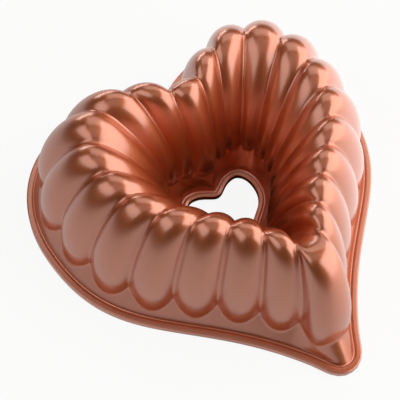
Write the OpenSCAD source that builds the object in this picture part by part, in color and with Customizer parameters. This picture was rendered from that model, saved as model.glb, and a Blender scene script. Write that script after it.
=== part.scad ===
// Heart-shaped fluted tube pan, one casting, standing mouth down on its rim.
// The tip points to -Y, the cleft to +Y, and the rim rests on z = 0.

/* [Rim] */
// Width of the rim over both lobes
rim_w = 250; // [220:1:290]
// Length of the rim from the tip to the tops of the lobes
rim_l = 264; // [240:1:300]
// Height of the flat edge of the rim
rim_t = 4.6; // [3.5:0.1:8]
// Width of the rim from its edge to the groove at its inner side
rim_land = 5.2; // [4:0.1:8]
// Depth of that groove below the top of the rim
groove_depth = 0.6; // [0:0.1:1.5]

/* [Heart outline] */
// Distance of the widest place behind the middle of the rim
widest_y = 51; // [30:0.5:65]
// Distance of each lobe's top from the mirror plane
lobe_x = 58; // [50:0.5:70]
// Depth of the cleft between the lobes, measured at the rim
cleft_depth = 23; // [10:0.5:30]
// Half width of the heart where the round of the tip ends
corner_x = 20; // [16:0.5:28]
// Distance from the tip to that place, along the heart's axis
corner_y = 19; // [15:0.5:28]
// Angle of the side where it leaves the round of the tip
side_angle = 57; // [48:1:65]

/* [Flutes] */
// Flutes on each side, between the one on the tip and the one in the cleft
side_flutes = 10; // [8:1:12]
// Half width of the tip flute at its foot, as a share of a side flute
tip_foot = 0.9; // [0.7:0.01:1.2]
// Half width of the cleft flute at its foot, as a share of a side flute
cleft_foot = 0.36; // [0.2:0.01:0.6]
// How much wider the last side flute's foot is than a middle one, as a share
foot_growth = 0.175; // [0:0.005:0.3]
// Half width of the tip flute where it ends in the tube, as a share of a side flute
tip_end = 0.1; // [0.08:0.01:0.5]
// Half width of the cleft flute where it ends in the tube, as a share of a side flute
cleft_end = 0.84; // [0.4:0.01:1]
// How much narrower the last side flute's end is than a middle one, as a share
end_loss = 0.07; // [0:0.01:0.3]
// Depth of a flute as a share of its width
flute_depth = 0.23; // [0.12:0.01:0.3]
// Depth of the flute on the tip as a share of the others' depth
tip_depth = 0.35; // [0.2:0.01:1]
// Distance from the rim's edge to the feet of the valleys
shoulder = 17; // [14:0.5:24]
// Height of the valleys' feet above the table
foot_z = 22; // [16:0.5:28]
// Height of the highest line of the valleys
valley_z = 86.5; // [65:0.5:105]
// Place of that line, as a share of the way from the foot to the tube
ridge_share = 0.445; // [0.35:0.005:0.5]
// Fullness of the arch on its outer side, 0.55 is an ellipse
outer_round = 0.4; // [0.3:0.01:0.7]
// Fullness of the arch on the tube's side
inner_round = 0.33; // [0.25:0.01:0.6]

/* [Tube] */
// Width of the tube where the flutes end in it
tube_w = 77; // [68:1:88]
// Length of the tube there
tube_l = 84; // [74:1:94]
// Distance of the tube's middle behind the middle of the rim
tube_y = 2; // [-6:0.5:10]
// Height at which the flutes end in the tube
tube_z = 23; // [18:0.5:32]
// Width of the ledge on which the flutes end
ledge = 3.4; // [2:0.1:5]

/* [Hole] */
// Width of the heart-shaped hole
hole_w = 51; // [42:0.5:56]
// Length of the hole
hole_l = 43; // [36:0.5:48]
// Distance of the hole's middle behind the middle of the rim
hole_y = 8; // [2:0.5:14]
// Width of the lip round the hole
lip_w = 3.2; // [2.5:0.1:4.5]
// Height of the lip above the table
lip_z = 7; // [6:0.1:12]
// Depth of the groove round the lip
lip_step = 1.6; // [1:0.1:2.4]

/* [Casting] */
// Thickness of the walls
wall = 3; // [2:0.1:3.4]

/* [Hidden] */
copper = [0.66, 0.42, 0.32];

// Sampling: outline points on a curve, facets on a flute and rows on the arch, whose last row
// stops just over the ledge
curve_steps = 14;
flute_steps = 8;
arch_steps = 14;
arch_end = 1.97;

// Small forms of the rim, the skirt, the ledge and the lip
edge_lean = 0.2;
edge_round = 1;
rim_crown = 0.3;
groove_w = 1.3;
skirt_rise = 0.8;
least_climb = 0.1;
ledge_fall = 0.6;
well_gap = 2.4;
lip_groove = 1;
lip_round = 0.5;
lip_crown = 0.7;

// One cubic curve, and its points after the first
function cubic(a, b, c, d, t) =
    let (s = 1 - t) a * s * s * s + 3 * b * t * s * s + 3 * c * t * t * s + d * t * t * t;
function curve(a, b, c, d) = [for (i = [1:curve_steps]) cubic(a, b, c, d, i / curve_steps)];

// Half a heart from its tip to its cleft. The corner is where the round of the tip ends, and
// the side leaves it at an angle. The turns say how softly the tip and the cleft bend.
function half_heart(w, y, tip, lobe, cleft, corner, angle, tip_turn, cleft_turn) =
    let (
        start = [0, tip],
        heading = [cos(angle), sin(angle)],
        wide = [w / 2, y],
        run = norm(wide - corner),
        end = [0, cleft]
    )
    concat(
        [start],
        curve(start, start + [tip_turn, 0], corner - heading * norm(corner - start) / 3, corner),
        curve(corner, corner + heading * run * 0.46, wide - [0, run * 0.45], wide),
        curve(wide, wide + [0, (lobe[1] - y) * 0.55], lobe + [(w / 2 - lobe[0]) * 0.55, 0], lobe),
        curve(lobe, lobe - [lobe[0] * 0.5, 0], end + [cleft_turn, 0], end)
    );

// The same points with the length of the outline from the tip to each of them
function measured(path) =
    let (steps = [for (i = [1:len(path) - 1]) norm(path[i] - path[i - 1])])
    [for (i = 0, s = 0; i < len(path); s = s + (i < len(steps) ? steps[i] : 0), i = i + 1)
        [s, path[i][0], path[i][1]]];

// The point at a share of the half outline, from the tip (0) to the cleft (1)
function at_share(path, share) =
    let (s = share * path[len(path) - 1][0])
    [lookup(s, [for (p = path) [p[0], p[1]]]), lookup(s, [for (p = path) [p[0], p[2]]])];

// The four outlines that the casting is drawn between: the rim, the feet of the flutes, their
// ends in the tube, and the hole. The inner three have blunter tips and softer clefts.
rim_tip = -rim_l / 2;
rim_lobe = rim_l / 2;
rim_heart = measured(half_heart(
    rim_w, widest_y, rim_tip, [lobe_x, rim_lobe], rim_lobe - cleft_depth,
    [corner_x, rim_tip + corner_y], side_angle, 12, 8));
foot_heart = measured(half_heart(
    rim_w - 2 * shoulder, widest_y, rim_tip + shoulder * 1.25,
    [lobe_x + shoulder * 0.4, rim_lobe - shoulder * 1.3], rim_lobe - cleft_depth - shoulder * 1.5,
    [corner_x - 3, rim_tip + corner_y + shoulder * 1.5], side_angle - 6, 19, 18));
tube_tip = tube_y - tube_l / 2;
tube_lobe = tube_y + tube_l / 2;
tube_heart = measured(half_heart(
    tube_w, tube_y + tube_l * 0.31, tube_tip, [tube_w * 0.3, tube_lobe], tube_lobe - tube_l * 0.075,
    [tube_w * 0.12, tube_tip + tube_l * 0.18], 53, tube_w * 0.08, tube_w * 0.065));
hole_tip = hole_y - hole_l / 2;
hole_lobe = hole_y + hole_l / 2;
hole_heart = measured(half_heart(
    hole_w, hole_y + hole_l * 0.23, hole_tip, [hole_w * 0.35, hole_lobe], hole_lobe - hole_l * 0.166,
    [hole_w * 0.1, hole_tip + hole_l * 0.072], 42, hole_w * 0.07, hole_w * 0.1));

// Share of the half outline at a place counted in flutes from the middle of the tip flute,
// when the side flutes' widths grow evenly from the tip to the cleft
flutes = 2 * side_flutes + 2;
fine = flutes * flute_steps;
coarse = fine / 2;
function share_at(tip, growth, cleft, place) =
    let (q = max(0, min(side_flutes, place - 0.5)))
    (2 * tip * min(place, 0.5) + q * (1 + growth * (q / side_flutes - 1))
        + 2 * cleft * max(place - side_flutes - 0.5, 0)) / (tip + side_flutes + cleft);
function foot_share(place) = share_at(tip_foot, foot_growth, cleft_foot, place);
function tube_share(place) = share_at(tip_end, -end_loss, cleft_end, place);

// Share of a measured outline at its nearest place to a point, and that place's distance
function nearest(path, p) =
    let (
        hits = [for (i = [1:len(path) - 1]) let (
                a = [path[i - 1][1], path[i - 1][2]],
                d = [path[i][1], path[i][2]] - a,
                t = max(0, min(1, (p - a) * d / (d * d)))
            )
            [norm(a + d * t - p), path[i - 1][0] + t * norm(d)]],
        least = min([for (h = hits) h[0]])
    )
    [for (h = hits) if (h[0] == least) [h[1] / path[len(path) - 1][0], least]][0];

// Shares of one outline for the valleys that end on another, looked up by place: from the same
// shares on both (pull 0) to the places nearest to the valleys' ends (pull 1)
function beside(path, shares, ends, pull) = concat(
    [[0, 0]],
    [for (k = [0:side_flutes]) [k + 0.5, shares[k] + (nearest(path, ends[k])[0] - shares[k]) * pull]],
    [[flutes / 2, 1]]
);

// A sample's place in its flute: the flute's number, and -1 to 1 from valley to valley
arc = 2 * atan(2 * flute_depth);
function flute_of(i) = floor(i / flute_steps);
function in_flute(i) = 2 * (i / flute_steps - flute_of(i)) - 1;
function place_of(i) = flute_of(i) + sin(in_flute(i) * arc) / sin(arc) / 2;

// Place of a sample on the right half, counted from the tip flute, and whether it is on the left
function right_place(i) = min(abs(place_of(i)), flutes - abs(place_of(i)));
function on_left(i) = place_of(i) < 0 || place_of(i) > flutes / 2;
function line_on(path, shares) = [for (i = [0:fine - 1])
    let (p = at_share(path, shares[i])) on_left(i) ? [-p[0], p[1]] : p];
foot_line = line_on(foot_heart, [for (i = [0:fine - 1]) foot_share(right_place(i))]);
tube_line = line_on(tube_heart, [for (i = [0:fine - 1]) tube_share(right_place(i))]);
foot_shares = [for (k = [0:side_flutes]) foot_share(k + 0.5)];
tube_shares = [for (k = [0:side_flutes]) tube_share(k + 0.5)];
rim_marks = beside(rim_heart, foot_shares, [for (s = foot_shares) at_share(foot_heart, s)], 1);
hole_marks = beside(hole_heart, tube_shares, [for (s = tube_shares) at_share(tube_heart, s)], 0.3);
rim_line = line_on(rim_heart, [for (i = [0:fine - 1]) lookup(right_place(i), rim_marks)]);
hole_line = line_on(hole_heart, [for (i = [0:fine - 1]) lookup(right_place(i), hole_marks)]);

// Outline moved inwards by a distance
function turned(line, i) =
    let (n = len(line), d = line[(i + 1) % n] - line[(i + n - 1) % n])
    [-d[1], d[0]] / norm(d);
function inset(line, by) = [for (i = [0:len(line) - 1]) line[i] + turned(line, i) * by];
function level(line, z) = [for (p = line) [p[0], p[1], z]];
function halved(line) = [for (i = [0:2:len(line) - 1]) line[i]];

// The valley before a flute, and the width of a sample's flute, at a share of the way to the tube
function valley(line, flute) = line[(flute * flute_steps + fine) % fine];
function chord(line, i) = valley(line, flute_of(i) + 1) - valley(line, flute_of(i));
function bulge(i, u) =
    (flute_of(i) == 0 ? tip_depth : 1) * norm(chord(foot_line, i) * (1 - u) + chord(tube_line, i) * u)
    / 2 / sin(arc) * (cos(in_flute(i) * arc) - cos(arc));

// Level direction into the heart at a sample, square to an outline
function inward(line, i) =
    let (d = line[(i + 2) % fine] - line[(i + fine - 2) % fine])
    [-d[1], d[0]] / norm(d);
foot_in = [for (i = [0:fine - 1]) inward(foot_line, i)];
tube_in = [for (i = [0:fine - 1]) inward(tube_line, i)];

// The arch is two curves, from the foot (0) over its highest line (1) to the tube (2).
// A point on it is the share of the way to the tube, and the height.
way = [for (i = [0:fine - 1]) tube_line[i] - foot_line[i]];
function arch(t) =
    t < 1 ?
        cubic([0, foot_z], [0, foot_z + (valley_z - foot_z) * outer_round],
            [ridge_share * (1 - outer_round), valley_z], [ridge_share, valley_z], t) :
        cubic([ridge_share, valley_z], [ridge_share + (1 - ridge_share) * inner_round, valley_z],
            [1, tube_z + (valley_z - tube_z) * inner_round], [1, tube_z], t - 1);

// A sample's point there, lifted off the arch by its place in the flute and sunk by the wall
nudge = 0.01;
least_run = 0.3;
function arch_point(i, t, sunk) =
    let (
        at = arch(t),
        ahead = arch(t + nudge) - arch(t - nudge),
        into = t < 1 ? foot_in[i] : tube_in[i],
        slope = [ahead[0] * max(least_run * norm(way[i]), way[i] * into), ahead[1]],
        lift = (bulge(i, at[0]) - sunk) / norm(slope),
        p = foot_line[i] + way[i] * at[0] - into * lift * slope[1]
    )
    [p[0], p[1], at[1] + lift * slope[0]];
function arch_row(t, sunk) = [for (i = [0:fine - 1]) arch_point(i, t, sunk)];
function arch_place(k) = min(2 * k / arch_steps, arch_end);

// The skirt runs from the rim's groove up to the feet, and the flutes' toes end on it. The
// further a toe stands out towards the rim, the lower it meets the skirt.
skirt_in = rim_land + groove_w;
skirt_line = inset(rim_line, skirt_in);
skirt_z = rim_t + skirt_rise;
function from_rim(p) = nearest(rim_heart, [abs(p[0]), p[1]])[1];
function toe_row(sunk) = [for (i = [0:fine - 1]) let (
        toe = foot_line[i] - foot_in[i] * bulge(i, 0),
        climb = (from_rim(toe) - skirt_in) / (from_rim(foot_line[i]) - skirt_in),
        p = toe + foot_in[i] * sunk
    )
    [p[0], p[1], skirt_z + (foot_z - skirt_z) * max(least_climb, climb)]];

// Rows of the outside, from the rim's lower edge over the arch to the tube's ledge
ledge_line = inset(tube_line, ledge);
ledge_z = tube_z - ledge * ledge_fall;
well_line = inset(hole_line, -lip_w - well_gap);
rim_rows = [
    level(rim_line, 0),
    level(inset(rim_line, edge_lean), rim_t - edge_round),
    level(inset(rim_line, edge_lean + edge_round), rim_t),
    level(inset(rim_line, rim_land - groove_w), rim_t + rim_crown),
    level(inset(rim_line, rim_land), rim_t - groove_depth),
    level(skirt_line, skirt_z)
];
arch_rows = concat(
    [toe_row(0)],
    [for (k = [1:arch_steps]) arch_row(arch_place(k), 0)],
    [level(ledge_line, ledge_z)]
);

// Down the well to the groove round the lip, over the lip, and back along the inside
under_z = lip_z - lip_step - wall;
well_rows = [
    level(well_line, lip_z),
    level(inset(hole_line, -lip_w - lip_groove), lip_z - lip_step),
    level(inset(hole_line, -lip_w), lip_z - lip_crown),
    level(inset(hole_line, -lip_w / 2), lip_z),
    level(inset(hole_line, -lip_round), lip_z - lip_crown),
    level(hole_line, under_z)
];
inner_rows = concat(
    [level(inset(well_line, -wall), under_z), level(inset(ledge_line, -wall), ledge_z - wall)],
    [for (k = [arch_steps:-2:2]) arch_row(arch_place(k), wall)],
    [toe_row(wall), level(inset(rim_line, rim_land + wall), 0)]
);
rows = concat(
    rim_rows,
    arch_rows,
    [for (r = well_rows) halved(r)],
    [for (r = inner_rows) len(r) == coarse ? r : halved(r)]
);
starts = [for (k = 0, s = 0; k < len(rows); s = s + len(rows[k]), k = k + 1) s];

// Facets between two rows, where one may have twice as many points as the other. The diagonals
// lean towards the middle of each flute, so that its toe stays clean at both ends.
function leaning(i, n) = i % (n / flutes) < n / flutes / 2;
function band(a, n, b, m) =
    n == m ? [for (i = [0:n - 1]) let (j = (i + 1) % n)
        each leaning(i, n) ?
            [[a + i, b + j, a + j], [a + i, b + i, b + j]] :
            [[a + i, b + i, a + j], [a + j, b + i, b + j]]] :
    n < m ? [for (i = [0:n - 1]) let (j = (i + 1) % n, k = (2 * i + 2) % m)
        each [[a + i, b + 2 * i, b + 2 * i + 1], [a + i, b + 2 * i + 1, a + j], [a + j, b + 2 * i + 1, b + k]]] :
    [for (i = [0:m - 1]) let (j = (i + 1) % m, k = (2 * i + 2) % n)
        each [[a + 2 * i, b + i, a + 2 * i + 1], [a + 2 * i + 1, b + i, b + j], [a + 2 * i + 1, b + j, a + k]]];
facets = [for (k = [0:len(rows) - 1]) let (l = (k + 1) % len(rows))
    each band(starts[k], len(rows[k]), starts[l], len(rows[l]))];

module pan() {
    color(copper)
        polyhedron(points = [for (r = rows) each r], faces = facets, convexity = 8);
}

pan();
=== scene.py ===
from math import cos, radians, sin, tan

import bpy
from mathutils import Matrix, Vector


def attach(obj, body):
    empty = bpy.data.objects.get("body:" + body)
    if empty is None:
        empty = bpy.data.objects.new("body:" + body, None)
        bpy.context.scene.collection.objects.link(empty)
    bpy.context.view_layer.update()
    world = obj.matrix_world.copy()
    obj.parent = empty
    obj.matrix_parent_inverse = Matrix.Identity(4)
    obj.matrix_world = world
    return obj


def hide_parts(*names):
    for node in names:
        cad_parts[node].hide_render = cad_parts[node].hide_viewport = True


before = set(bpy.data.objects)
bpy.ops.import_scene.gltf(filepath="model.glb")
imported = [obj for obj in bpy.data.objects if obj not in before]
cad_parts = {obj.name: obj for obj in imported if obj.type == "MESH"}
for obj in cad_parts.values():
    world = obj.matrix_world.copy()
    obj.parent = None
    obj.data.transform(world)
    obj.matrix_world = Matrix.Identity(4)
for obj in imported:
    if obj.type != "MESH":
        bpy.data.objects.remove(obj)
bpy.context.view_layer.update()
print("frame loaded:", sorted(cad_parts))

mm = 0.001


# An expression on sockets adds the node that works it out, in shader and geometry trees alike.
class Term:
    def __init__(self, graph, socket):
        self.graph = graph
        self.socket = socket

    def __add__(self, other):
        return self.graph.combine("ADD", self, other)

    def __radd__(self, other):
        return self.graph.combine("ADD", other, self)

    def __sub__(self, other):
        return self.graph.combine("SUBTRACT", self, other)

    def __rsub__(self, other):
        return self.graph.combine("SUBTRACT", other, self)

    def __mul__(self, other):
        return self.graph.combine("MULTIPLY", self, other)

    def __rmul__(self, other):
        return self.graph.combine("MULTIPLY", other, self)

    def __truediv__(self, other):
        return self.graph.combine("DIVIDE", self, other)

    def __rtruediv__(self, other):
        return self.graph.combine("DIVIDE", other, self)

    def __neg__(self):
        return self * -1.0

    def __abs__(self):
        return self.graph.maths("ABSOLUTE", self)

    def isVector(self):
        return self.socket.type == "VECTOR"

    def dot(self, other):
        return self.graph.vectorMaths("DOT_PRODUCT", self, other, out="Value")

    def length(self):
        return self.graph.vectorMaths("LENGTH", self, out="Value")

    def unit(self):
        return self.graph.vectorMaths("NORMALIZE", self)

    def parts(self):
        node = self.graph.make("ShaderNodeSeparateXYZ", {}, {0: self})
        return [Term(self.graph, socket) for socket in node.outputs]


class Graph:
    def __init__(self, tree):
        self.tree = tree
        self.made = {}

    # A node that was made before from the same values is used again
    def make(self, kind, settings, values):
        given = [(key, v.socket.as_pointer() if isinstance(v, Term) else v) for key, v in values.items()]
        label = (kind, *settings.items(), *given)
        if label in self.made:
            return self.made[label]
        node = self.tree.nodes.new(kind)
        for name, value in settings.items():
            setattr(node, name, value)
        for key, value in values.items():
            if isinstance(value, Term):
                self.tree.links.new(value.socket, node.inputs[key])
            else:
                node.inputs[key].default_value = value
        self.made[label] = node
        return node

    def node(self, kind, settings=None, values=None, out=0):
        return Term(self, self.make(kind, settings or {}, values or {}).outputs[out])

    def maths(self, operation, *values):
        return self.node("ShaderNodeMath", {"operation": operation}, dict(enumerate(values)))

    def vectorMaths(self, operation, *values, out=0):
        return self.node("ShaderNodeVectorMath", {"operation": operation}, dict(enumerate(values)), out)

    def combine(self, operation, a, b):
        vectors = [isinstance(v, tuple) or isinstance(v, Term) and v.isVector() for v in (a, b)]
        if not any(vectors):
            return self.maths(operation, a, b)
        if all(vectors):
            return self.vectorMaths(operation, a, b)
        vector, number = (a, b) if vectors[0] else (b, a)
        if operation == "DIVIDE":
            number = 1.0 / number
        return self.node("ShaderNodeVectorMath", {"operation": "SCALE"}, {0: vector, "Scale": number})

    def vector(self, x, y, z=0.0):
        return self.node("ShaderNodeCombineXYZ", {}, {0: x, 1: y, 2: z})

    def least(self, a, b):
        return self.maths("MINIMUM", a, b)

    def most(self, a, b):
        return self.maths("MAXIMUM", a, b)


# The camera stands where it stood for the photograph: looking down steeply on the heart's left flank.
cameraSet = {
    "aim": (-24.1, 10.9, 40.0),  # mm, the point in the middle of the picture
    "distance": 678.9,
    "azimuth": -35.2,  # degrees from +Y
    "elevation": 60.2,
    "roll": 1.65,
    "lens": 91.8,  # on a sensor 36 mm wide
}


def placeCamera(s):
    around, up, roll = radians(s["azimuth"]), radians(s["elevation"]), radians(s["roll"])
    forward = Vector((-sin(around) * cos(up), cos(around) * cos(up), -sin(up)))
    levelRight = Vector((cos(around), sin(around), 0.0))
    levelUp = levelRight.cross(forward)
    right = levelRight * cos(roll) + levelUp * sin(roll)
    top = levelUp * cos(roll) - levelRight * sin(roll)
    camera = bpy.data.objects.new("camera", bpy.data.cameras.new("camera"))
    camera.data.lens = s["lens"]
    camera.data.sensor_width = 36.0
    camera.data.clip_start = 0.05
    turn = Matrix((right, top, -forward)).transposed().to_4x4()
    camera.matrix_world = Matrix.Translation((Vector(s["aim"]) - forward * s["distance"]) * mm) @ turn
    bpy.context.scene.collection.objects.link(camera)
    bpy.context.scene.camera = camera


placeCamera(cameraSet)
print("camera placed")


# Sizes in mm. The four hearts are drawn from above, with the tip towards -Y.
heartSet = {
    "Rim": {
        "width": 250.0, "widestY": 51.0, "tip": -132.0, "lobe": (58.0, 132.0), "cleft": 109.0,
        "corner": (20.0, -113.0), "angle": 57.0, "tipTurn": 12.0, "cleftTurn": 8.0,
    },
    "Foot": {
        "width": 216.0, "widestY": 51.0, "tip": -110.7, "lobe": (64.8, 109.9), "cleft": 83.5,
        "corner": (17.0, -87.5), "angle": 51.0, "tipTurn": 19.0, "cleftTurn": 18.0,
    },
    "Tube": {
        "width": 77.0, "widestY": 28.0, "tip": -40.0, "lobe": (23.1, 44.0), "cleft": 37.7,
        "corner": (9.2, -24.9), "angle": 53.0, "tipTurn": 6.2, "cleftTurn": 5.0,
    },
    "Hole": {
        "width": 51.0, "widestY": 17.9, "tip": -13.5, "lobe": (17.9, 29.5), "cleft": 22.4,
        "corner": (5.1, -10.4), "angle": 42.0, "tipTurn": 3.6, "cleftTurn": 5.1,
    },
}

panSet = {
    "Flutes per side": 10,
    "Tip flute foot": 0.9,  # half a flute's width, in widths of a side flute
    "Cleft flute foot": 0.36,
    "Foot growth": 0.175,  # the side flutes widen towards the cleft at the foot and narrow at the tube
    "Tip flute end": 0.1,
    "Cleft flute end": 0.84,
    "End loss": 0.07,
    "Flute depth": 0.23,  # of a flute's width
    "Tip flute depth": 0.35,  # of a side flute's depth, at the foot and at the crest
    "Tip crest depth": 0.85,
    "Foot height": 22.0,
    "Valley height": 86.5,
    "Ridge share": 0.445,
    "Outer fullness": 0.4,
    "Inner fullness": 0.33,
    "Tube height": 23.0,
    "Ledge": 2.6,
    "Ledge drop": 3.2,
    "Ledge softness": 1.6,
    "Rim land": 5.2,
    "Skirt start": 6.5,
    "Skirt height": 5.4,
    "Wall": 3.0,
    "Valley softness": 1.0,
    "Toe softness": 2.2,
    "Well start": 6.2,
    "Well height": 8.2,
    "Lip end": 7.0,
    "Lip bottom": 2.2,
}
lengthInputs = {
    "Foot height", "Valley height", "Tube height", "Ledge", "Ledge drop", "Ledge softness",
    "Rim land", "Skirt start", "Skirt height", "Wall", "Valley softness", "Toe softness",
    "Well start", "Well height", "Lip end", "Lip bottom",
}

# Sections as (distance, height, rounding) in mm: inwards from the rim's edge, outwards from the hole's.
rimSection = [
    (0.0, 0.0, 0.0), (0.1, 4.7, 0.7), (3.7, 4.95, 0.6), (4.6, 4.1, 0.5), (5.3, 4.0, 0.5),
    (panSet["Skirt start"], panSet["Skirt height"], 0.0),
]
lipSection = [
    (panSet["Well start"], panSet["Well height"], 0.0),
    (5.4, 5.2, 2.0), (3.5, 5.2, 0.25), (3.3, 6.9, 0.6), (1.7, 7.0, 0.5), (1.5, 6.6, 0.3), (0.1, 6.5, 0.5),
    (0.0, panSet["Lip bottom"], 0.4), (panSet["Lip end"], panSet["Lip bottom"], 0.0),
]

stepsPerFlute = 20
mergeDistance = 2e-6  # m


def curveObject(name, kind, points):
    data = bpy.data.curves.new(name, "CURVE")
    data.dimensions = "3D"
    data.resolution_u = 64
    spline = data.splines.new(kind)
    knots = spline.bezier_points if kind == "BEZIER" else spline.points
    knots.add(len(points) - 1)
    holder = bpy.data.objects.new(name, data)
    bpy.context.scene.collection.objects.link(holder)
    return holder, knots


# Half a heart from its tip to its cleft, on the right
def halfHeart(name, s):
    tip, cleft = Vector((0.0, s["tip"])), Vector((0.0, s["cleft"]))
    corner, lobe = Vector(s["corner"]), Vector(s["lobe"])
    wide = Vector((s["width"] / 2, s["widestY"]))
    heading = Vector((cos(radians(s["angle"])), sin(radians(s["angle"]))))
    run, first = (wide - corner).length, (corner - tip).length
    knots = [
        (tip, tip, tip + Vector((s["tipTurn"], 0.0))),
        (corner, corner - heading * first / 3, corner + heading * run * 0.46),
        (wide, wide - Vector((0.0, run * 0.45)), wide + Vector((0.0, (lobe.y - wide.y) * 0.55))),
        (lobe, lobe + Vector(((wide.x - lobe.x) * 0.55, 0.0)), lobe - Vector((lobe.x * 0.5, 0.0))),
        (cleft, cleft + Vector((s["cleftTurn"], 0.0)), cleft),
    ]
    holder, slots = curveObject(name, "BEZIER", knots)
    for slot, (point, before, after) in zip(slots, knots):
        slot.handle_left_type = slot.handle_right_type = "FREE"
        slot.co = point.to_3d() * mm
        slot.handle_left = before.to_3d() * mm
        slot.handle_right = after.to_3d() * mm
    return holder


# A section whose corners are rounded by arcs
def roundedSection(name, corners, arcSteps=5):
    points = []
    for n, (x, y, rounding) in enumerate(corners):
        here = Vector((x, y))
        if rounding == 0.0:
            points.append(here)
            continue
        before = (Vector(corners[n - 1][:2]) - here).normalized()
        after = (Vector(corners[n + 1][:2]) - here).normalized()
        half = before.angle(after) / 2
        setback = rounding / tan(half)
        centre = here + (before + after).normalized() * rounding / sin(half)
        start, end = here + before * setback, here + after * setback
        for k in range(arcSteps + 1):
            part = (start - centre).lerp(end - centre, k / arcSteps).normalized()
            points.append(centre + part * rounding)
    holder, slots = curveObject(name, "POLY", points)
    for slot, point in zip(slots, points):
        slot.co = (point.x * mm, point.y * mm, 0.0, 1.0)
    return holder


def fluteTree(material):
    tree = bpy.data.node_groups.new("fluted heart", "GeometryNodeTree")
    g = Graph(tree)
    tree.interface.new_socket("Geometry", in_out="INPUT", socket_type="NodeSocketGeometry")
    for name in ("Rim", "Foot", "Tube", "Hole", "Rim section", "Lip section"):
        tree.interface.new_socket(name, in_out="INPUT", socket_type="NodeSocketObject")
    for name in panSet:
        tree.interface.new_socket(name, in_out="INPUT", socket_type="NodeSocketFloat")
    tree.interface.new_socket("Geometry", in_out="OUTPUT", socket_type="NodeSocketGeometry")
    given = tree.nodes.new("NodeGroupInput")

    def size(name):
        return Term(g, given.outputs[name])

    def drawn(name):
        return g.node("GeometryNodeObjectInfo", {}, {"Object": size(name)}, "Geometry")

    def sample(curve, share):
        node = g.make(
            "GeometryNodeSampleCurve",
            {"mode": "FACTOR", "use_all_curves": True, "data_type": "FLOAT_VECTOR"},
            {"Curves": curve, "Factor": share},
        )
        return Term(g, node.outputs["Position"]), Term(g, node.outputs["Tangent"])

    hearts = {name: drawn(name) for name in heartSet}
    sides = size("Flutes per side")
    flutes = sides * 2 + 2

    # Every band starts as a level unit grid: across is the way round, along is the way over the wall
    across, along = (g.node("GeometryNodeInputPosition") + (0.5, 0.5, 0.0)).parts()[:2]
    counted = across * flutes
    flute = g.maths("FLOOR", counted)
    arc = g.maths("ARCTANGENT", size("Flute depth") * 2) * 2
    swing = (counted - flute - 0.5) * 2 * arc
    sideways = g.maths("SINE", swing) / g.maths("SINE", arc)
    place = flute + sideways / 2

    # Share of the half outline at a place counted in flutes from the middle of the tip flute
    def shareAt(where, tip, growth, cleft):
        q = g.most(g.least(where - 0.5, sides), 0.0)
        total = tip + sides + cleft
        start = 2 * tip * g.least(where, 0.5)
        finish = 2 * cleft * g.most(where - sides - 0.5, 0.0)
        return (start + q * (1 + growth * (q / sides - 1)) + finish) / total

    def footShare(where):
        return shareAt(where, size("Tip flute foot"), size("Foot growth"), size("Cleft flute foot"))

    def tubeShare(where):
        return shareAt(where, size("Tip flute end"), -size("End loss"), size("Cleft flute end"))

    # The left half mirrors the right one
    def fromTip(where):
        return where - flutes * g.maths("FLOOR", where / flutes + 0.5)

    def onRight(where):
        return abs(fromTip(where))

    def sign(where):
        return 1 - 2 * g.maths("LESS_THAN", fromTip(where), 0.0)

    def mirrored(vector, where):
        x, y, z = vector.parts()
        return g.vector(x * sign(where), y, z)

    def inwards(tangent):
        x, y = tangent.parts()[:2]
        return g.vector(-y, x).unit()

    def footAt(where):
        return mirrored(sample(hearts["Foot"], footShare(onRight(where)))[0], where)

    def tubeAt(where):
        return mirrored(sample(hearts["Tube"], tubeShare(onRight(where)))[0], where)

    # Shares of one outline, drawn by pull towards the spots beside the valleys that end on another
    def markedShares(name, valleyAt, shareOf, pull):
        count = 1500
        dots = g.node("GeometryNodeCurveToPoints", {"mode": "COUNT"}, {"Curve": hearts[name], "Count": count})
        right = onRight(place)
        low = g.most(g.maths("FLOOR", right + 0.5) - 0.5, 0.0)
        high = g.least(g.maths("FLOOR", right + 0.5) + 0.5, flutes / 2)

        def mark(where):
            spot = valleyAt(where)
            near = g.node("GeometryNodeSampleNearest", {}, {"Geometry": dots, "Sample Position": spot})
            share = shareOf(where)
            notAtEnds = g.maths("GREATER_THAN", where, 0.25) * g.maths("LESS_THAN", where, flutes / 2 - 0.25)
            return share + (near / (count - 1) - share) * pull * notAtEnds

        part = (right - low) / (high - low)
        return mark(low) + (mark(high) - mark(low)) * part, dots

    rimShare, rimDots = markedShares("Rim", footAt, footShare, 1.0)
    holeShare = markedShares("Hole", tubeAt, tubeShare, 0.3)[0]

    foot, tube = footAt(place), tubeAt(place)
    rim, rimTangent = sample(hearts["Rim"], rimShare)
    hole, holeTangent = sample(hearts["Hole"], holeShare)
    rimIn, holeIn = mirrored(inwards(rimTangent), place), mirrored(inwards(holeTangent), place)
    rim, hole = mirrored(rim, place), mirrored(hole, place)
    reach = 0.12  # of a flute, to either side, for the direction of an outline
    footIn = inwards(footAt(place + reach) - footAt(place - reach))
    tubeIn = inwards(tubeAt(place + reach) - tubeAt(place - reach))

    def mixed(a, b, t):
        return a + (b - a) * t

    # Height of a flute over its valleys, which are rounded where two arcs meet
    mostRounded = 0.2  # of a flute's width
    footChord = footAt(flute + 0.5) - footAt(flute - 0.5)
    tubeChord = tubeAt(flute + 0.5) - tubeAt(flute - 0.5)
    isTip = g.maths("LESS_THAN", flute, 0.5) + g.maths("GREATER_THAN", flute, flutes - 0.5)

    def tipDepth(w):
        return mixed(size("Tip flute depth"), size("Tip crest depth"), g.least(w / size("Ridge share"), 1.0))

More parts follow.
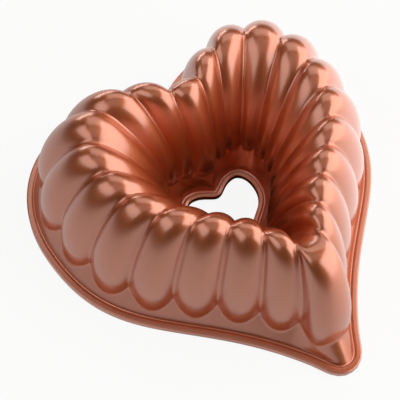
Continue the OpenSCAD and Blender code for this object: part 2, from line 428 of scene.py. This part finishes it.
    def bulge(w, softness):
        chord = (footChord * (1 - w) + tubeChord * w).length()
        dome = chord / 2 / g.maths("SINE", arc) * (g.maths("COSINE", swing) - g.maths("COSINE", arc))
        soft = g.least(softness, chord * mostRounded)
        short = g.most(soft - (1 - abs(sideways)) * chord / 2, 0.0)
        full = dome + g.maths("TANGENT", arc) * short * short / (2 * soft)
        return full * (1 - isTip * (1 - tipDepth(w)))

    way = tube - foot
    wayLength = way.length()
    ridge = size("Ridge share")
    leastRun = 0.3  # of the way, where it slants along the outline
    footZ, valleyZ, tubeZ = size("Foot height"), size("Valley height"), size("Tube height")

    def cubic(a, b, c, d, t):
        s = 1 - t
        return a * (s * s * s) + b * (3 * t * s * s) + c * (3 * t * t * s) + d * (t * t * t)

    def pace(a, b, c, d, t):
        s = 1 - t
        return (b - a) * (s * s) + (c - b) * (2 * s * t) + (d - c) * (t * t)

    def archPoint(shares, heights, into, t, sunk, softness):
        w, height = cubic(*shares, t), cubic(*heights, t)
        run = pace(*shares, t) * g.most(wayLength * leastRun, way.dot(into))
        climb = pace(*heights, t)
        steep = g.maths("SQRT", run * run + climb * climb)
        lift = (bulge(w, softness) - sunk) / steep
        return foot + way * w - into * (lift * climb) + g.vector(0.0, 0.0, height + lift * run)

    def outerArch(t, sunk, softness):
        full = size("Outer fullness")
        shares = (0.0, 0.0, ridge * (1 - full), ridge)
        heights = (footZ, footZ + (valleyZ - footZ) * full, valleyZ, valleyZ)
        return archPoint(shares, heights, footIn, t, sunk, softness)

    def innerArch(t, sunk, softness):
        full = size("Inner fullness")
        shares = (ridge, ridge + (1 - ridge) * full, 1.0, 1.0)
        heights = (valleyZ, valleyZ, tubeZ + (valleyZ - tubeZ) * full, tubeZ)
        return archPoint(shares, heights, tubeIn, t, sunk, softness)

    def atHeight(plan, height):
        x, y = plan.parts()[:2]
        return g.vector(x, y, height)

    def toward(a, b, distance):
        return a + (b - a).unit() * distance

    def rounded(corner, before, after, softness):
        a, b = (before - corner).unit(), (after - corner).unit()
        s = 1 - along
        return corner + (a * (s * s) + b * (along * along)) * softness

    # The skirt, and the toes that the flutes set on it
    def fromRim(point):
        x, y = point.parts()[:2]
        level = g.vector(abs(x), y)
        values = {0: rimDots, "Sample Position": level}
        return g.node("GeometryNodeProximity", {"target_element": "POINTS"}, values, "Distance")

    softValley, softToe, wall = size("Valley softness"), size("Toe softness"), size("Wall")
    leastClimb = 0.1
    skirtStart = atHeight(rim + rimIn * size("Skirt start"), size("Skirt height"))
    toePlan = foot - footIn * bulge(0.0, softValley)
    climbed = (fromRim(toePlan) - size("Skirt start")) / (fromRim(foot) - size("Skirt start"))
    toeZ = mixed(size("Skirt height"), footZ, g.most(climbed, leastClimb))
    toe = atHeight(toePlan, toeZ)
    up = (0.0, 0.0, 1.0)
    startT, endT = 0.06, 0.97  # the part of the outer arch left to the toe, and of the inner one kept
    wallFoot = outerArch(startT, 0.0, softValley)

    # The ledge on which the flutes end, and the well below it
    wallEnd = innerArch(endT, 0.0, softValley)
    ledgeBack = atHeight(wallEnd, tubeZ)
    ledgeFront = atHeight(tube + tubeIn * size("Ledge"), tubeZ - size("Ledge drop"))
    wellFoot = atHeight(hole - holeIn * size("Well start"), size("Well height"))
    ledgeWidth = (ledgeFront - ledgeBack).length()
    softLedge = g.least(size("Ledge softness"), ledgeWidth * 0.45)

    def section(name, plan, direction):
        distance, height = sample(drawn(name), along)[0].parts()[:2]
        return atHeight(plan + direction * distance, height)

    # The inside follows the outside at the wall's thickness
    softInside = softValley * 2
    wellUnder = atHeight(hole - holeIn * size("Lip end"), size("Lip bottom"))
    ledgeUnder = atHeight(tube + tubeIn * (size("Ledge") - wall), tubeZ - size("Ledge drop") - wall)
    innerEnd = innerArch(endT, wall, softInside)
    innerStart = outerArch(startT, wall, softInside)
    toeInside = atHeight(toePlan + footIn * wall, toeZ)
    mouth = atHeight(rim + rimIn * (size("Rim land") + wall), 0.0)
    edge = atHeight(rim, 0.0)

    bands = [
        (22, section("Rim section", rim, rimIn)),
        (8, mixed(skirtStart, toward(toe, skirtStart, softToe), along)),
        (6, rounded(toe, skirtStart, toe + up, softToe)),
        (4, mixed(toe + g.vector(0.0, 0.0, softToe), wallFoot, along)),
        (34, outerArch(startT + along * (1 - startT), 0.0, softValley)),
        (32, innerArch(along * endT, 0.0, softValley)),
        (3, mixed(wallEnd, ledgeBack + g.vector(0.0, 0.0, softLedge), along)),
        (4, rounded(ledgeBack, ledgeBack + up, ledgeFront, softLedge)),
        (3, mixed(toward(ledgeBack, ledgeFront, softLedge), toward(ledgeFront, ledgeBack, softLedge), along)),
        (4, rounded(ledgeFront, ledgeBack, wellFoot, softLedge)),
        (8, mixed(toward(ledgeFront, wellFoot, softLedge), wellFoot, along)),
        (34, section("Lip section", hole, -holeIn)),
        (5, mixed(wellUnder, ledgeUnder, along)),
        (2, mixed(ledgeUnder, innerEnd, along)),
        (16, innerArch((1 - along) * endT, wall, softInside)),
        (16, outerArch(1 - along * (1 - startT), wall, softInside)),
        (3, mixed(innerStart, toeInside, along)),
        (4, mixed(toeInside, mouth, along)),
        (2, mixed(mouth, edge, along)),
    ]
    join = tree.nodes.new("GeometryNodeJoinGeometry")
    stepsRound = (2 * panSet["Flutes per side"] + 2) * stepsPerFlute
    for steps, where in bands:
        grid = g.node("GeometryNodeMeshGrid", {}, {
            "Size X": 1.0, "Size Y": 1.0, "Vertices X": stepsRound + 1, "Vertices Y": steps + 1,
        })
        placed = g.node("GeometryNodeSetPosition", {}, {"Geometry": grid, "Position": where})
        tree.links.new(placed.socket, join.inputs[0])
    joined = Term(g, join.outputs[0])
    whole = g.node("GeometryNodeMergeByDistance", {}, {"Geometry": joined, "Distance": mergeDistance})
    whole = g.node("GeometryNodeSetShadeSmooth", {}, {"Geometry": whole})
    whole = g.node("GeometryNodeRealizeInstances", {}, {"Geometry": whole})
    whole = g.node("GeometryNodeSetMaterial", {}, {"Geometry": whole, "Material": material})
    end = tree.nodes.new("NodeGroupOutput")
    tree.links.new(whole.socket, end.inputs[0])
    return tree


def shaderGraph(name):
    material = bpy.data.materials.new(name)
    material.use_nodes = True
    material.node_tree.nodes.clear()
    return material, Graph(material.node_tree)


def finishMaterial(g, shader):
    out = g.tree.nodes.new("ShaderNodeOutputMaterial")
    g.tree.links.new(shader.socket, out.inputs["Surface"])


copperSet = {
    "colour": (0.62, 0.14, 0.032, 1.0),
    "metallic": 0.85,
    "roughness": 0.42,
    "coatRoughness": 0.22,
    "coatIor": 2.25,
    "grain": 0.0007,  # m
    "grainHeight": 0.0001,
    "grainStrength": 0.05,
}


def copperCoat(s):
    material, g = shaderGraph("copperCoat")
    spot = g.node("ShaderNodeTexCoord", {}, {}, "Object")
    grain = g.node("ShaderNodeTexNoise", {}, {"Vector": spot, "Scale": 1 / s["grain"], "Detail": 2.0}, 0)
    bump = g.node("ShaderNodeBump", {}, {
        "Strength": s["grainStrength"], "Distance": s["grainHeight"], "Height": grain,
    })
    shader = g.node("ShaderNodeBsdfPrincipled", {}, {
        "Base Color": s["colour"], "Metallic": s["metallic"], "Roughness": s["roughness"], "Normal": bump,
        "Coat Weight": 1.0, "Coat Roughness": s["coatRoughness"], "Coat IOR": s["coatIor"],
    })
    finishMaterial(g, shader)
    return material


def makePan():
    material = copperCoat(copperSet)
    tree = fluteTree(material)
    helpers = {name: halfHeart(name, s) for name, s in heartSet.items()}
    helpers["Rim section"] = roundedSection("Rim section", rimSection)
    helpers["Lip section"] = roundedSection("Lip section", lipSection)
    holder = bpy.data.objects.new("panMaker", bpy.data.meshes.new("panMaker"))
    bpy.context.scene.collection.objects.link(holder)
    modifier = holder.modifiers.new("flutes", "NODES")
    modifier.node_group = tree
    for item in tree.interface.items_tree:
        if item.in_out != "INPUT" or item.name == "Geometry":
            continue
        if item.name in helpers:
            modifier[item.identifier] = helpers[item.name]
        else:
            scale = mm if item.name in lengthInputs else 1.0
            modifier[item.identifier] = float(panSet[item.name]) * scale
    graph = bpy.context.evaluated_depsgraph_get()
    mesh = bpy.data.meshes.new_from_object(holder.evaluated_get(graph))
    mesh.name = "castPan"
    bpy.data.objects.remove(holder)
    for helper in helpers.values():
        bpy.data.objects.remove(helper)
    pan = bpy.data.objects.new("castPan", mesh)
    bpy.context.scene.collection.objects.link(pan)
    return pan


pan = makePan()
print("pan made:", len(pan.data.polygons), "faces")
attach(pan, "root")
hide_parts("pan")

stageSet = {
    "floorSize": 6.0,
    "floor": (0.93, 0.93, 0.93, 1.0),
    "whiteToCamera": 0.9,  # the rest of the floor's colour takes the shadow
    # The floor's glow that gloss sees is painted light and shade: a painted shadow under the pan, dimmer far
    # off, brighter towards the lit side
    "paintedShadowUnderPan": (0.05, 0.1),  # m, painted shadow under the pan: where the floor's glow seen in gloss rises from dark
    "nearFloor": (0.35, 0.7),  # m, where the near floor's level turns to the far floor's
    "nearLevel": (0.6, 0.8),  # painted level away from the light, and the painted light that the lit side has more
    "farLevel": (0.15, 1.8),
    "litSide": (0.95, -0.05, 0.0),
    "world": (1.0, 1.0, 1.0, 1.0),
    "worldStrength": 0.04,
    "light": (1.0, 0.97, 0.93),
    "boxes": {  # place in m, width and height in m, watts
        "leftBox": ((-1.09, 0.22, 1.0), (2.0, 0.9), 6.5),
        "rightBox": ((1.08, -0.73, 0.78), (3.0, 1.75), 34.0),
        "backBox": ((0.6, 0.8, 1.2), (1.8, 1.2), 6.0),
        "topBox": ((-0.3, -0.2, 1.6), (1.4, 1.4), 2.0),
        "lowBox": ((0.2, 1.5, 0.2), (0.9, 0.3), 2.8),
    },
}


def paper(s):
    material, g = shaderGraph("paper")
    diffuse = g.node("ShaderNodeBsdfDiffuse", {}, {"Color": s["floor"]})
    path = g.make("ShaderNodeLightPath", {}, {})
    seen = Term(g, path.outputs["Is Camera Ray"]) * s["whiteToCamera"]
    mirrored = Term(g, path.outputs["Is Glossy Ray"])
    spot = g.node("ShaderNodeTexCoord", {}, {}, "Object")

    def beyond(start, end):
        return g.node("ShaderNodeClamp", {}, {"Value": (spot.length() - start) / (end - start)})

    # Painted light and shade on the floor as gloss sees it: dark under the pan, brighter on the lit side,
    # dimmer far off
    lit = g.most(spot.unit().dot(s["litSide"]), 0.0)
    near, far = (lit * more + level for level, more in (s["nearLevel"], s["farLevel"]))
    paintedFloorLevel = beyond(*s["paintedShadowUnderPan"]) * (near + (far - near) * beyond(*s["nearFloor"]))
    strength = 1 - mirrored * (1 - paintedFloorLevel)
    glow = g.node("ShaderNodeEmission", {}, {"Color": g.vector(strength, strength, strength), "Strength": 1.0})
    finishMaterial(g, g.node("ShaderNodeMixShader", {}, {0: seen + mirrored, 1: diffuse, 2: glow}))
    return material


def softbox(name, colour, place, spread, power):
    light = bpy.data.lights.new(name, "AREA")
    light.shape = "RECTANGLE"
    light.size, light.size_y = spread
    light.energy = power
    light.color = colour
    holder = bpy.data.objects.new(name, light)
    holder.location = place
    holder.rotation_euler = Vector(place).to_track_quat("Z", "Y").to_euler()
    bpy.context.scene.collection.objects.link(holder)


def makeStage(s):
    bpy.ops.mesh.primitive_plane_add(size=s["floorSize"], location=(0.0, 0.0, 0.0))
    floor = bpy.context.object
    floor.name = "floor"
    floor.data.materials.append(paper(s))
    world = bpy.data.worlds.new("studio")
    world.use_nodes = True
    background = world.node_tree.nodes["Background"]
    background.inputs["Color"].default_value = s["world"]
    background.inputs["Strength"].default_value = s["worldStrength"]
    bpy.context.scene.world = world
    for name, box in s["boxes"].items():
        softbox(name, s["light"], *box)


makeStage(stageSet)
print("stage and lights placed")

bpy.context.scene.view_settings.view_transform = "Standard"
